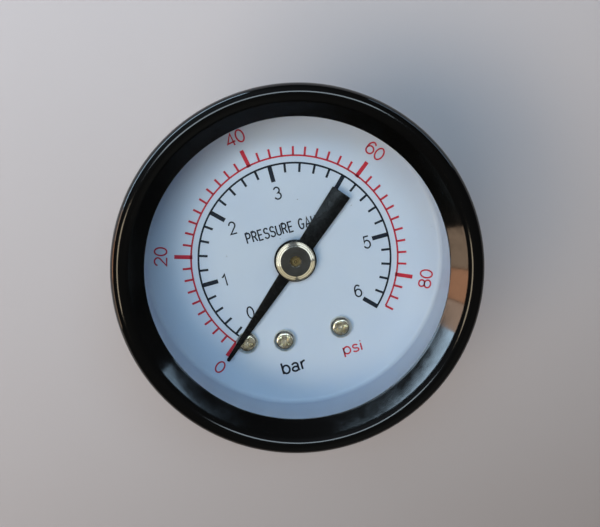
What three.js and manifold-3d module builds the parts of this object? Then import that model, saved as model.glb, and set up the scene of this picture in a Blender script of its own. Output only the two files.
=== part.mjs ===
// Back-mounted dial pressure gauge, 40 mm nominal, with a Bourdon tube movement.
// Millimetres. +Z runs from the stem's end face out through the dial, and +Y points to the dial's
// 12 o'clock. The origin is the centre of the stem's end face. The pointer is at rest just past zero.

import * as THREE from 'three';
import { mergeVertices } from 'three/addons/utils/BufferGeometryUtils.js';
import Module from 'manifold-3d';

const wasm = await Module();
wasm.setup();

const { PI, cos, sin } = Math;
const TURN = 2 * PI;
const radians = THREE.MathUtils.degToRad;

// ---------------------------------------------------------------- driving dimensions

const GAP = 0.05; // between faces that rest on each other
const ROUND = 48; // sides of the large turned shells
const MEDIUM = 24; // sides of the stem, hub and pointer disc
const FINE = 12; // sides of small turned pieces

// Threaded stem and wrench flats
const THREAD_R = 4.86; // R 1/8 taper thread
const THREAD_PITCH = 0.907;
const THREAD_DEPTH = 0.58;
const THREAD_TURNS = 9;
const STEM_LENGTH = 10.4;
const FLATS_ACROSS = 11;
const FLATS_CORNER_R = 6.9;
const FLATS_TOP = 16.6;
const COLLAR_R = 6.6;
const COUNTERBORE_R = 1.65;
const COUNTERBORE_DEPTH = 3.2;
const INLET_R = 1.3;
const PASSAGE_R = 0.8;

// Case and bezel
const CASE_BACK = 18;
const CASE_R = 20;
const CASE_WALL = 0.55;
const CASE_CORNER = 2.5;
const CASE_RIM = 40.6;
const NECK_R = 4.9;
const BEZEL_R = 21.25;
const BEZEL_BOTTOM = 34.8;
const BEZEL_ROLL = 1.15;
const CREST = 44.4;
const WINDOW_R = 17.6;
const WINDOW = 42.1;
const LIP = 0.3;
const SKIRT_R = 20.3; // inside of the bezel, round the case

// Lens, gasket and dial
const LENS_R = 19.3;
const LENS_TOP = 41.7;
const LENS_THICK = 2;
const DIAL = 32;
const DIAL_THICK = 0.6;
const DIAL_WALL_R = 18.75;
const DIAL_WALL = 0.4;
const DIAL_RIM = 39;
const DIAL_FILLET = 0.8;
const DIAL_HOLE_R = 1.6;

// Dial screws: distance from the centre, and degrees from 6 o'clock towards 9 o'clock
const DIAL_SCREWS = [
  { r: 10.5, turn: 22.5 },
  { r: 10.5, turn: -18.7 },
  { r: 12.3, turn: 45.1 },
];
const DIAL_SCREW_HEAD_R = 1.4;
const DIAL_SCREW_R = 0.8;
const POST_R = 1.7;
const SPIGOT_R = 0.8;
const CASE_SCREW_R = 1.05;
const MOVEMENT_SCREW_R = 0.8;

// Socket block inside the case
const BLOCK_TOP = 22.3;
const ARM_BOTTOM = 18.65;
const EAR_X = 9.5;
const EAR_R = 2.6;
const PASSAGE_Z = 20.6; // height of the drilled cross passage
const HOLDER_TOP = 28.5; // top of the upright that holds the tube's fixed end
const HOLDER_WIDTH = 9.2;
const HOLDER_DEPTH = 4.8;
const HOLDER_Y = -15;
const SLOT_WIDTH = 5.7;
const SLOT_DEPTH = 2.9;

// Bourdon tube: an arc from 6 o'clock clockwise to just above 3 o'clock
const TUBE_R = 15.5;
const TUBE_SWEEP = 260;
const TUBE_HEIGHT = 5;
const TUBE_THICK = 1.8;
const TUBE_WALL = 0.3;
const TUBE_Z = 25;

// Movement
const BACK_PLATE = 22.4;
const BACK_PLATE_THICK = 1;
const FRONT_PLATE = 28.2;
const FRONT_PLATE_THICK = 0.9;
const PILLAR_R = 1.1;
const MODULE = 0.25;
const PINION_TEETH = 10;
const SECTOR_TEETH = 75; // teeth that the full circle would have
const SECTOR_CUT = 12; // teeth that the sector has
const CENTRE_DISTANCE = 10.68;
const ARBOR_ANGLE = -33; // direction of the sector's arbor from the pinion
const SECTOR_Z = 24.6;
const SECTOR_THICK = 1;
const TAIL_LENGTH = 4.2;
const TAIL_ANGLE = -13.75;
const LINK_Z = 25.75;
const LINK_THICK = 0.6;
const LINK_PIN_R = 0.45;
const TIP_PIVOT = new THREE.Vector2(14.8, -1.6);
const PIVOT_R = 0.5;

// Hairspring round the pinion's shaft
const SPRING_Z = 26.6;
const SPRING_HEIGHT = 0.7;
const SPRING_STRIP = 0.12;
const SPRING_INNER = 1.42;
const SPRING_OUTER = 4.3;
const SPRING_TURNS = 4;
const SPRING_END = 130; // direction of the outer end

// Pointer
const POINTER_REST = -131; // degrees clockwise from 12 o'clock
const POINTER_BOTTOM = 32.95;
const POINTER_THICK = 0.4;
const POINTER_DISC_R = 2.66;
const POINTER_LENGTH = 15.4;
const POINTER_ROOT = 1.55;
const POINTER_TIP = 0.45;
const TAIL_REACH = 10.3;
const TAIL_ROOT = 2.05;
const TAIL_END = 2.6;
const HUB_R = 2.45;
const HUB_TOP = 34.1;
const SPINDLE_R = 0.55;

// ---------------------------------------------------------------- materials

const finish = (color, roughness, metalness) => () =>
  new THREE.MeshStandardMaterial({ color, roughness, metalness });
const blackPaint = finish(0x0b0b0d, 0.18, 0.1);
const blackCase = finish(0x101114, 0.35, 0.1);
const satinBlack = finish(0x141416, 0.5, 0.0);
const brass = finish(0xb9924c, 0.35, 1.0);
const nickel = finish(0xc9bd9c, 0.3, 1.0);
const steel = finish(0xa9acb0, 0.35, 1.0);
const bronze = finish(0xa86e3f, 0.35, 1.0);
const dialWhite = finish(0xc3c9dc, 0.45, 0.0);
const rubber = finish(0x1a1a1a, 0.8, 0.0);
const clear = () =>
  new THREE.MeshStandardMaterial({ color: 0xffffff, roughness: 0.02, transparent: true, opacity: 0.15 });

// ---------------------------------------------------------------- geometry helpers

const polar = (r, angle) => new THREE.Vector2(r * cos(angle), r * sin(angle));
const plus = (a, b) => a.clone().add(b);

// Points along an arc, angles in radians
function arc(cx, cy, r, from, to, steps) {
  return Array.from({ length: steps + 1 }, (_, i) => {
    const angle = from + ((to - from) * i) / steps;
    return [cx + r * cos(angle), cy + r * sin(angle)];
  });
}

function signedArea(points) {
  return points.reduce((sum, [x, y], i) => {
    const [nextX, nextY] = points[(i + 1) % points.length];
    return sum + (x * nextY - nextX * y) / 2;
  }, 0);
}

// Revolves a profile of [radius, z] points about Z. A profile off the axis closes on itself.
function turned(profile, sides = ROUND) {
  const outline = signedArea(profile) > 0 ? [...profile] : [...profile].reverse();
  const axial = outline.findIndex(([r], i) => r === 0 && outline.at(i - 1)[0] === 0);
  const points = axial >= 0
    ? [...outline.slice(axial), ...outline.slice(0, axial)]
    : [...outline, outline[0]];
  const lathe = new THREE.LatheGeometry(points.map(([r, z]) => new THREE.Vector2(r, z)), sides);
  return lathe.rotateX(PI / 2);
}

const cylinder = (r, bottom, top, sides = FINE) =>
  turned([[0, bottom], [r, bottom], [r, top], [0, top]], sides);

const ring = (inner, outer, bottom, top, sides = FINE) =>
  turned([[inner, bottom], [outer, bottom], [outer, top], [inner, top]], sides);

const box = (x, y, z, cx, cy, cz) => new THREE.BoxGeometry(x, y, z).translate(cx, cy, cz);

const moved = (geometry, place) => geometry.translate(place.x, place.y, 0);

// A flat plate: an outline with holes, from bottom up by its thickness
function plate(outline, bottom, thick, holes = []) {
  const shape = new THREE.Shape(outline);
  for (const { at, r } of holes) {
    shape.holes.push(new THREE.Path().absarc(at.x, at.y, r, 0, TURN, true));
  }
  const settings = { depth: thick, bevelEnabled: false, curveSegments: 6 };
  return new THREE.ExtrudeGeometry(shape, settings).translate(0, 0, bottom);
}

// The smallest outline around some circles, as a belt round pulleys
function belt(circles, sides = 18) {
  const points = circles.flatMap(({ at, r }) =>
    Array.from({ length: sides }, (_, i) => plus(at, polar(r, (TURN * i) / sides))));
  points.sort((a, b) => a.x - b.x || a.y - b.y);
  const cross = (o, a, b) => (a.x - o.x) * (b.y - o.y) - (a.y - o.y) * (b.x - o.x);
  const half = (list) => {
    const chain = [];
    for (const point of list) {
      while (chain.length > 1 && cross(chain.at(-2), chain.at(-1), point) <= 1e-6) chain.pop();
      chain.push(point);
    }
    return chain.slice(0, -1);
  };
  return [...half(points), ...half(points.toReversed())];
}

// Solids for joins and cuts
function solid(geometry) {
  const bare = geometry.clone();
  bare.deleteAttribute('normal');
  bare.deleteAttribute('uv');
  const merged = mergeVertices(bare, 1e-5);
  const corners = merged.index.array;
  const kept = [];
  for (let i = 0; i < corners.length; i += 3) {
    const [a, b, c] = corners.slice(i, i + 3);
    if (a !== b && b !== c && c !== a) kept.push(a, b, c);
  }
  return new wasm.Manifold(new wasm.Mesh({
    numProp: 3,
    vertProperties: new Float32Array(merged.attributes.position.array),
    triVerts: new Uint32Array(kept),
  }));
}

function surface(body) {
  const mesh = body.getMesh();
  const geometry = new THREE.BufferGeometry();
  geometry.setAttribute('position', new THREE.BufferAttribute(mesh.vertProperties, 3));
  geometry.setIndex(new THREE.BufferAttribute(mesh.triVerts, 1));
  geometry.computeVertexNormals();
  return geometry;
}

const joined = (...geometries) =>
  surface(geometries.map(solid).reduce((whole, piece) => whole.add(piece)));

const cut = (geometry, ...tools) =>
  surface(tools.map(solid).reduce((whole, tool) => whole.subtract(tool), solid(geometry)));

// ---------------------------------------------------------------- places

const ORIGIN = new THREE.Vector2(0, 0);
const ARBOR = polar(CENTRE_DISTANCE, radians(ARBOR_ANGLE));
const TAIL_PIVOT = plus(ARBOR, polar(TAIL_LENGTH, radians(TAIL_ANGLE)));
const DIAL_SCREW_PLACES = DIAL_SCREWS.map(({ r, turn }) => polar(r, radians(-90 - turn)));
const PILLARS = [
  polar(6.8, radians(192)),
  polar(6.8, radians(102)),
  plus(ARBOR, polar(4.2, radians(-60))),
];
const MOVEMENT_SCREWS = [new THREE.Vector2(-4, 0), new THREE.Vector2(4.2, 0)];
const EARS = [new THREE.Vector2(-EAR_X, 0), new THREE.Vector2(EAR_X, 0)];
const STUD_PLACE = polar(SPRING_OUTER + 0.72, radians(SPRING_END));
const BACK_PLATE_TOP = BACK_PLATE + BACK_PLATE_THICK;
const FRONT_PLATE_TOP = FRONT_PLATE + FRONT_PLATE_THICK;
const SECTOR_TOP = SECTOR_Z + SECTOR_THICK;

// ---------------------------------------------------------------- screws

// A pan-head screw with a crossed recess. Its head sits on z = seat and points up.
function panScrew({ headR, headHeight, shankR, length, seat }) {
  const dome = arc(0, 0, 1, 0, PI / 2, 3).map(([x, y]) => [
    headR * (0.72 * x ** 0.5 + 0.28 * x),
    seat + headHeight * (0.35 + 0.65 * y),
  ]);
  const profile = [
    [0, seat - length],
    [shankR * 0.7, seat - length],
    [shankR, seat - length + shankR * 0.4],
    [shankR, seat],
    [headR * 0.97, seat],
    ...dome.slice(0, -1),
    [0, seat + headHeight],
  ];
  const depth = headHeight * 0.6;
  const slot = (x, y) => box(x, y, depth, 0, 0, seat + headHeight - depth / 2 + 0.05);
  return cut(turned(profile, FINE), slot(headR * 1.15, headR * 0.24), slot(headR * 0.24, headR * 1.15));
}

// ---------------------------------------------------------------- socket

// Profile of the taper thread's crests and roots, from the end face up
function threadProfile() {
  const points = [[THREAD_R - 0.75, 0]];
  for (let i = 0; i < THREAD_TURNS; i += 1) {
    const z = 0.5 + i * THREAD_PITCH;
    points.push([THREAD_R - THREAD_DEPTH, z]);
    points.push([THREAD_R - 0.03 * (THREAD_TURNS - i) / THREAD_TURNS, z + THREAD_PITCH / 2]);
  }
  points.push([THREAD_R - THREAD_DEPTH, 0.5 + THREAD_TURNS * THREAD_PITCH]);
  points.push([THREAD_R - THREAD_DEPTH, STEM_LENGTH]);
  return points;
}

function wrenchFlats() {
  const square = box(FLATS_ACROSS, FLATS_ACROSS, FLATS_TOP - STEM_LENGTH, 0, 0,
    (FLATS_TOP + STEM_LENGTH) / 2);
  const chamfer = 0.6;
  const round = turned([
    [0, STEM_LENGTH],
    [FLATS_CORNER_R - chamfer, STEM_LENGTH],
    [FLATS_CORNER_R, STEM_LENGTH + chamfer],
    [FLATS_CORNER_R, FLATS_TOP - chamfer],
    [FLATS_CORNER_R - chamfer, FLATS_TOP],
    [0, FLATS_TOP],
  ], MEDIUM);
  return surface(solid(square).intersect(solid(round)));
}

// The blocks and arms inside the case
function socketBlocks() {
  const arm = (end, r, rootR = 5) =>
    plate(belt([{ at: ORIGIN, r: rootR }, { at: end, r }]), ARM_BOTTOM, BLOCK_TOP - ARM_BOTTOM);
  const holderBottom = PASSAGE_Z - 1;
  const holder = box(HOLDER_WIDTH, HOLDER_DEPTH, HOLDER_TOP - holderBottom, 0, HOLDER_Y,
    (HOLDER_TOP + holderBottom) / 2);
  return [
    cylinder(NECK_R, FLATS_TOP, BLOCK_TOP, MEDIUM),
    ...EARS.map((ear) => arm(ear, EAR_R)),
    ...DIAL_SCREW_PLACES.map((place) => arm(place, POST_R + 0.4)),
    arm(new THREE.Vector2(0, HOLDER_Y + 3), 4.5, 4.5),
    holder,
  ];
}

// Pressure passages, the slot for the tube and the screws' holes
function socketHoles() {
  const inlet = cylinder(INLET_R, -1, PASSAGE_Z + 0.5);
  const counterbore = cylinder(COUNTERBORE_R, -1, COUNTERBORE_DEPTH);
  const cross = cylinder(PASSAGE_R, 0, TUBE_R + PASSAGE_R).rotateX(PI / 2).translate(0, 0, PASSAGE_Z);
  const riser = cylinder(PASSAGE_R, PASSAGE_Z, TUBE_Z).translate(0, -TUBE_R, 0);
  const slotX = (HOLDER_WIDTH - SLOT_WIDTH) / -2 - 0.1;
  const slot = box(SLOT_WIDTH, SLOT_DEPTH, TUBE_HEIGHT + 0.4, slotX, 0.35 - TUBE_R, TUBE_Z);
  const through = cylinder(CASE_SCREW_R + 0.1, CASE_BACK, BLOCK_TOP + 1);
  const movement = cylinder(MOVEMENT_SCREW_R + 0.1, BLOCK_TOP - 2.3, BLOCK_TOP + 1);
  const post = cylinder(SPIGOT_R + 0.1, BLOCK_TOP - 2.1, BLOCK_TOP + 1);
  return [
    inlet,
    counterbore,
    cross,
    riser,
    slot,
    ...EARS.map((place) => moved(through.clone(), place)),
    ...MOVEMENT_SCREWS.map((place) => moved(movement.clone(), place)),
    ...DIAL_SCREW_PLACES.map((place) => moved(post.clone(), place)),
  ];
}

function socket() {
  const body = [
    turned([...threadProfile(), [0, STEM_LENGTH], [0, 0]], MEDIUM),
    wrenchFlats(),
    cylinder(COLLAR_R, FLATS_TOP - 0.01, CASE_BACK - GAP, MEDIUM),
    ...socketBlocks(),
  ].map(solid).reduce((whole, piece) => whole.add(piece));
  return surface(socketHoles().map(solid).reduce((whole, hole) => whole.subtract(hole), body));
}

// A small plug with a fine hole that damps pressure shocks at the inlet
function restrictor() {
  return ring(0.3, COUNTERBORE_R - 0.1, 0.6, COUNTERBORE_DEPTH - 0.2);
}

// ---------------------------------------------------------------- case, bezel, lens

function caseShell() {
  const outerCorner = arc(CASE_R - CASE_CORNER, CASE_BACK + CASE_CORNER, CASE_CORNER, -PI / 2, 0, 3);
  const inner = CASE_CORNER - CASE_WALL;
  const innerCorner = arc(CASE_R - CASE_CORNER, CASE_BACK + CASE_CORNER, inner, 0, -PI / 2, 3);
  const shell = turned([
    [NECK_R + 0.2, CASE_BACK],
    ...outerCorner,
    [CASE_R, CASE_RIM],
    [CASE_R - CASE_WALL, CASE_RIM],
    ...innerCorner,
    [NECK_R + 0.2, CASE_BACK + CASE_WALL],
  ]);
  const hole = cylinder(CASE_SCREW_R + 0.3, CASE_BACK - 1, CASE_BACK + 2);
  return cut(shell, ...EARS.map((ear) => moved(hole.clone(), ear)));
}

// Pressed ring: a cone from the window up to a round roll, then the straight side and its hem
function bezel() {
  const centreR = BEZEL_R - BEZEL_ROLL;
  const centreZ = CREST - BEZEL_ROLL;
  const toCentre = new THREE.Vector2(centreR - WINDOW_R, centreZ - WINDOW);
  const slope = toCentre.angle() + Math.asin(BEZEL_ROLL / toCentre.length());
  const hem = 0.35;
  return turned([
    [WINDOW_R, WINDOW - LIP],
    [WINDOW_R, WINDOW],
    ...arc(centreR, centreZ, BEZEL_ROLL, slope + PI / 2, 0, 7),
    [BEZEL_R, BEZEL_BOTTOM + hem],
    [BEZEL_R - hem, BEZEL_BOTTOM],
    [SKIRT_R, BEZEL_BOTTOM],
    [SKIRT_R, WINDOW - LIP],
  ]);
}

const lens = () => cylinder(LENS_R, LENS_TOP - LENS_THICK, LENS_TOP, ROUND);

const gasket = () => ring(DIAL_WALL_R + GAP, LENS_R, DIAL_RIM + GAP, LENS_TOP - LENS_THICK - GAP, ROUND);

// ---------------------------------------------------------------- dial and its screws

function dial() {
  const outer = DIAL_WALL_R + DIAL_WALL;
  const bottom = DIAL - DIAL_THICK;
  const fillet = DIAL_FILLET;
  const pan = turned([
    [DIAL_HOLE_R, bottom],
    ...arc(outer - fillet, bottom + fillet, fillet, -PI / 2, 0, 2),
    [outer, DIAL_RIM],
    [DIAL_WALL_R, DIAL_RIM],
    ...arc(DIAL_WALL_R - fillet, DIAL + fillet, fillet, 0, -PI / 2, 2),
    [DIAL_HOLE_R, DIAL],
  ]);
  const hole = cylinder(DIAL_SCREW_R + 0.15, bottom - 1, DIAL + 1);
  return cut(pan, ...DIAL_SCREW_PLACES.map((place) => moved(hole.clone(), place)));
}

function dialScrew(place) {
  const screw = panScrew({
    headR: DIAL_SCREW_HEAD_R,
    headHeight: 0.95,
    shankR: DIAL_SCREW_R,
    length: 4,
    seat: DIAL + 0.02,
  });
  return moved(screw, place);
}

// A post from the socket's arm up to the dial, with a tapped hole in its top and a spigot below
function dialPost(place) {
  const top = DIAL - DIAL_THICK - GAP;
  return moved(turned([
    [0, BLOCK_TOP - 1.6],
    [SPIGOT_R, BLOCK_TOP - 1.6],
    [SPIGOT_R, BLOCK_TOP + GAP],
    [POST_R, BLOCK_TOP + GAP],
    [POST_R, top],
    [DIAL_SCREW_R + 0.08, top],
    [DIAL_SCREW_R + 0.08, top - 4.4],
    [0, top - 4.4],
  ], FINE), place);
}

function caseScrew(place) {
  const screw = panScrew({
    headR: 2.2,
    headHeight: 1.3,
    shankR: CASE_SCREW_R,
    length: 4.2,
    seat: GAP,
  });
  return moved(screw.rotateX(PI).translate(0, 0, CASE_BACK), place);
}

// ---------------------------------------------------------------- Bourdon tube

const TUBE_END = -90 - TUBE_SWEEP;

function bourdonTube() {
  const oval = (half, side) => {
    const straight = TUBE_HEIGHT / 2 - TUBE_THICK / 2;
    const right = arc(straight, 0, half, -PI / 2, PI / 2, side);
    const left = arc(-straight, 0, half, PI / 2, 1.5 * PI, side);
    return [...right, ...left].map(([x, y]) => new THREE.Vector2(x, y));
  };
  const section = new THREE.Shape(oval(TUBE_THICK / 2, 3));
  section.holes.push(new THREE.Path(oval(TUBE_THICK / 2 - TUBE_WALL, 3)));
  const start = radians(-90);
  const path = new THREE.Curve();
  path.getPoint = (t, target = new THREE.Vector3()) => {
    const angle = start - radians(TUBE_SWEEP) * t;
    return target.set(TUBE_R * cos(angle), TUBE_R * sin(angle), TUBE_Z);
  };
  return new THREE.ExtrudeGeometry(section, { extrudePath: path, steps: 30, bevelEnabled: false });
}

// The block that closes the tube's free end, with a lug for the link
function tubeTip() {
  const middle = radians(TUBE_END - 7);
  const block = box(3, 3.2, TUBE_HEIGHT + 1, 0, 0, 0).rotateZ(middle)
    .translate(TUBE_R * cos(middle), TUBE_R * sin(middle), TUBE_Z);
  const root = polar(TUBE_R, middle);
  const lug = plate(belt([{ at: TIP_PIVOT, r: 1.1 }, { at: root, r: 1.2 }]), 24.7, 0.8);
  const hole = moved(cylinder(LINK_PIN_R + 0.03, 24, 26, FINE), TIP_PIVOT);
  const reach = moved(cylinder(1.6, LINK_Z - GAP, TUBE_Z + 4, FINE), TIP_PIVOT);
  const below = moved(cylinder(1.6, TUBE_Z - 4, 24.3, FINE), TIP_PIVOT);
  return cut(joined(block, lug), hole, reach, below);
}

// ---------------------------------------------------------------- movement frame

const plateOutline = () => belt([
  { at: ORIGIN, r: 3 },
  { at: ARBOR, r: 2.4 },
  ...PILLARS.map((at) => ({ at, r: 1.6 })),
]);

function backPlate() {
  return plate(plateOutline(), BACK_PLATE, BACK_PLATE_THICK, [
    { at: ORIGIN, r: PIVOT_R + 0.08 },
    { at: ARBOR, r: PIVOT_R + 0.08 },
    ...PILLARS.map((at) => ({ at, r: 0.75 })),
    ...MOVEMENT_SCREWS.map((at) => ({ at, r: 0.95 })),
  ]);
}

function frontPlate() {
  return plate(plateOutline(), FRONT_PLATE, FRONT_PLATE_THICK, [
    { at: ORIGIN, r: SPINDLE_R + 0.2 },
    { at: ARBOR, r: PIVOT_R + 0.08 },
    { at: STUD_PLACE, r: 0.4 },
    ...PILLARS.map((at) => ({ at, r: 0.75 })),
  ]);
}

function pillar(place) {
  return moved(turned([
    [0, BACK_PLATE + 0.1],
    [0.7, BACK_PLATE + 0.1],
    [0.7, BACK_PLATE_TOP + 0.02],
    [PILLAR_R, BACK_PLATE_TOP + 0.02],
    [PILLAR_R, FRONT_PLATE - 0.02],
    [0.7, FRONT_PLATE - 0.02],
    [0.7, FRONT_PLATE - 2],
    [0, FRONT_PLATE - 2],
  ], FINE), place);
}

const plateScrew = (place) => moved(panScrew({
  headR: 1.3,
  headHeight: 0.8,
  shankR: 0.6,
  length: 2.6,
  seat: FRONT_PLATE_TOP + 0.02,
}), place);

const movementScrew = (place) => moved(panScrew({
  headR: 1.45,
  headHeight: 0.8,
  shankR: MOVEMENT_SCREW_R,
  length: 3.1,
  seat: BACK_PLATE_TOP + 0.02,
}), place);

// ---------------------------------------------------------------- gears

// One gear tooth as points [radius, angle] about the tooth's middle, thinned for backlash
function tooth(pitchR, addendum, dedendum, pitchAngle, thinning) {
  const half = (pitchAngle / 4) * thinning;
  const lean = Math.tan(radians(20)) / pitchR;
  const at = (r) => half - (r - pitchR) * lean * 1.25;
  const rootR = pitchR - dedendum;
  const topR = pitchR + addendum;
  return [
    [rootR, -at(rootR)],
    [pitchR, -half],
    [topR, -at(topR) * 0.9],
    [topR, at(topR) * 0.9],
    [pitchR, half],
    [rootR, at(rootR)],
  ];
}

function pinionOutline() {
  const pitchR = (MODULE * PINION_TEETH) / 2;
  const pitchAngle = TURN / PINION_TEETH;
  const outline = [];
  for (let i = 0; i < PINION_TEETH; i += 1) {
    const middle = radians(ARBOR_ANGLE) + (i + 0.5) * pitchAngle;
    for (const [r, a] of tooth(pitchR, MODULE * 0.8, MODULE * 1.15, pitchAngle, 0.78)) {
      outline.push(polar(r, middle + a));
    }
  }
  return outline;
}

// Shaft with the pinion's teeth: a thin lower pivot, the toothed drum, and the spindle
function pinionShaft() {
  const toothed = plate(pinionOutline(), SECTOR_Z - 0.4, SECTOR_THICK + 0.8);
  const shaft = turned([
    [0, BACK_PLATE + 0.1],
    [PIVOT_R, BACK_PLATE + 0.1],
    [PIVOT_R, BACK_PLATE_TOP + 0.1],
    [0.8, BACK_PLATE_TOP + 0.1],
    [0.8, FRONT_PLATE - 0.1],
    [SPINDLE_R, FRONT_PLATE - 0.1],
    [SPINDLE_R, HUB_TOP + 0.1],
    [SPINDLE_R - 0.12, HUB_TOP + 0.22],
    [0, HUB_TOP + 0.22],
  ], FINE);
  return joined(toothed, shaft);
}

// The toothed sector, its arm to the arbor and its tail to the link
function sectorGear() {
  const pitchR = (MODULE * SECTOR_TEETH) / 2;
  const pitchAngle = TURN / SECTOR_TEETH;
  const rimR = pitchR - MODULE * 1.15;
  const mesh = radians(ARBOR_ANGLE + 180);
  const firstTooth = -9;
  const teeth = [];
  for (let i = 0; i < SECTOR_CUT; i += 1) {
    const middle = mesh + (firstTooth + i) * pitchAngle;
    for (const [r, a] of tooth(pitchR, MODULE * 0.8, MODULE * 1.15, pitchAngle, 0.78)) {
      teeth.push(polar(r, middle + a));
    }
  }
  const from = mesh + (firstTooth - 0.5) * pitchAngle;
  const to = mesh + (firstTooth + SECTOR_CUT - 0.5) * pitchAngle;
  const rim = [
    polar(rimR, from),
    ...teeth,
    polar(rimR, to),
    ...arc(0, 0, rimR - 1.6, to, from, 10).map(([x, y]) => new THREE.Vector2(x, y)),
  ];
  const middle = (from + to) / 2;
  const spokes = [from + 0.12, to - 0.12].map((angle) =>
    plate(belt([{ at: ORIGIN, r: 0.9 }, { at: polar(rimR - 0.9, angle), r: 0.6 }]), 0, SECTOR_THICK));
  const tail = plate(belt([{ at: ORIGIN, r: 1.2 }, { at: polar(TAIL_LENGTH, radians(TAIL_ANGLE)), r: 1 }]),
    0, SECTOR_THICK);
  const blank = joined(plate(rim, 0, SECTOR_THICK), ...spokes, tail, cylinder(1.9, 0, SECTOR_THICK),
    plate(belt([{ at: ORIGIN, r: 0.8 }, { at: polar(rimR - 1, middle), r: 0.5 }]), 0, SECTOR_THICK));
  const pinHole = moved(cylinder(LINK_PIN_R + 0.03, -1, 2, FINE), polar(TAIL_LENGTH, radians(TAIL_ANGLE)));
  return cut(blank, cylinder(0.85, -1, 2), pinHole).translate(ARBOR.x, ARBOR.y, SECTOR_Z);
}

function sectorArbor() {
  return moved(turned([
    [0, BACK_PLATE + 0.1],
    [PIVOT_R, BACK_PLATE + 0.1],
    [PIVOT_R, BACK_PLATE_TOP + 0.1],
    [0.8, BACK_PLATE_TOP + 0.1],
    [0.8, FRONT_PLATE - 0.1],
    [PIVOT_R, FRONT_PLATE - 0.1],
    [PIVOT_R, FRONT_PLATE_TOP - 0.1],
    [0, FRONT_PLATE_TOP - 0.1],
  ], FINE), ARBOR);
}

// ---------------------------------------------------------------- link and its pins

const TIP_HOLE_R = LINK_PIN_R + 0.25; // takes up what a straight-line ratio leaves over

function link() {
  return plate(belt([{ at: TAIL_PIVOT, r: 1 }, { at: TIP_PIVOT, r: 1.15 }]), LINK_Z, LINK_THICK, [
    { at: TAIL_PIVOT, r: LINK_PIN_R + 0.08 },
    { at: TIP_PIVOT, r: TIP_HOLE_R },
  ]);
}

// A headed pin: its head lies just above the link
function linkPin(place, bottom) {
  const head = LINK_Z + LINK_THICK + GAP;
  return moved(turned([
    [0, bottom],
    [LINK_PIN_R, bottom],
    [LINK_PIN_R, head],
    [1, head],
    [1, head + 0.25],
    [0.8, head + 0.4],
    [0, head + 0.4],
  ], FINE), place);
}

// ---------------------------------------------------------------- hairspring

function hairspring() {
  const steps = SPRING_TURNS * 12;
  const edge = (offset) => Array.from({ length: steps + 1 }, (_, i) => {
    const share = i / steps;
    const r = SPRING_INNER + (SPRING_OUTER - SPRING_INNER) * share + offset;
    return polar(r, radians(SPRING_END) - (1 - share) * SPRING_TURNS * TURN);
  });
  return plate([...edge(SPRING_STRIP / 2), ...edge(-SPRING_STRIP / 2).reverse()], SPRING_Z, SPRING_HEIGHT);
}

const collet = () => ring(0.84, 1.3, SPRING_Z - 0.2, SPRING_Z + SPRING_HEIGHT + 0.2);

// The stud in the front plate that holds the hairspring's outer end
function hairspringStud() {
  return moved(turned([
    [0, SPRING_Z - 0.4],
    [0.55, SPRING_Z - 0.4],
    [0.55, FRONT_PLATE - GAP],
    [0.35, FRONT_PLATE - GAP],
    [0.35, FRONT_PLATE_TOP],
    [0, FRONT_PLATE_TOP],
  ], FINE), STUD_PLACE);
}

// ---------------------------------------------------------------- pointer

function pointer() {
  const tip = polar(POINTER_LENGTH, PI / 2);
  const blade = plate([
    new THREE.Vector2(-POINTER_ROOT / 2, 2),
    new THREE.Vector2(POINTER_ROOT / 2, 2),
    new THREE.Vector2(POINTER_TIP / 2, tip.y),
    new THREE.Vector2(-POINTER_TIP / 2, tip.y),
  ], 0, POINTER_THICK);
  const tail = plate([
    new THREE.Vector2(TAIL_ROOT / 2, -2),
    new THREE.Vector2(-TAIL_ROOT / 2, -2),
    new THREE.Vector2(-TAIL_END / 2, -TAIL_REACH),
    new THREE.Vector2(TAIL_END / 2, -TAIL_REACH),
  ], 0, POINTER_THICK);
  const disc = cylinder(POINTER_DISC_R, 0, POINTER_THICK, MEDIUM);
  return cut(joined(disc, blade, tail), cylinder(1.25, -1, 2))
    .rotateZ(-radians(POINTER_REST))
    .translate(0, 0, POINTER_BOTTOM);
}

// Turned hub: a sleeve through the pointer and a chamfered boss on top of it
function pointerHub() {
  const seat = POINTER_BOTTOM + POINTER_THICK + 0.02;
  return turned([
    [SPINDLE_R + 0.03, DIAL + 0.4],
    [1.15, DIAL + 0.4],
    [1.15, seat],
    [HUB_R, seat],
    [HUB_R, HUB_TOP - 0.4],
    [HUB_R - 0.5, HUB_TOP],
    [SPINDLE_R + 0.03, HUB_TOP],
  ], MEDIUM);
}

// ---------------------------------------------------------------- assembly

const gauge = new THREE.Group();

function add(name, geometry, material) {
  const mesh = new THREE.Mesh(geometry, material());
  mesh.name = name;
  gauge.add(mesh);
}

function addEach(name, places, make, material) {
  places.forEach((place, i) => add(`${name}_${i + 1}`, make(place), material));
}

add('socket', socket(), brass);
add('restrictor', restrictor(), brass);
add('case', caseShell(), blackCase);
addEach('case_screw', EARS, caseScrew, steel);
add('bezel', bezel(), blackPaint);
add('lens', lens(), clear);
add('lens_gasket', gasket(), rubber);
add('dial', dial(), dialWhite);
addEach('dial_screw', DIAL_SCREW_PLACES, dialScrew, nickel);
addEach('dial_post', DIAL_SCREW_PLACES, dialPost, brass);
add('bourdon_tube', bourdonTube(), bronze);
add('tube_tip', tubeTip(), brass);
add('movement_back_plate', backPlate(), brass);
add('movement_front_plate', frontPlate(), brass);
addEach('pillar', PILLARS, pillar, brass);
addEach('plate_screw', PILLARS, plateScrew, steel);
addEach('movement_screw', MOVEMENT_SCREWS, movementScrew, steel);
add('sector_gear', sectorGear(), brass);
add('sector_arbor', sectorArbor(), steel);
add('link', link(), brass);
add('tail_pin', linkPin(TAIL_PIVOT, SECTOR_Z + 0.1), steel);
add('tip_pin', linkPin(TIP_PIVOT, 24.8), steel);
add('pinion_shaft', pinionShaft(), brass);
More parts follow.
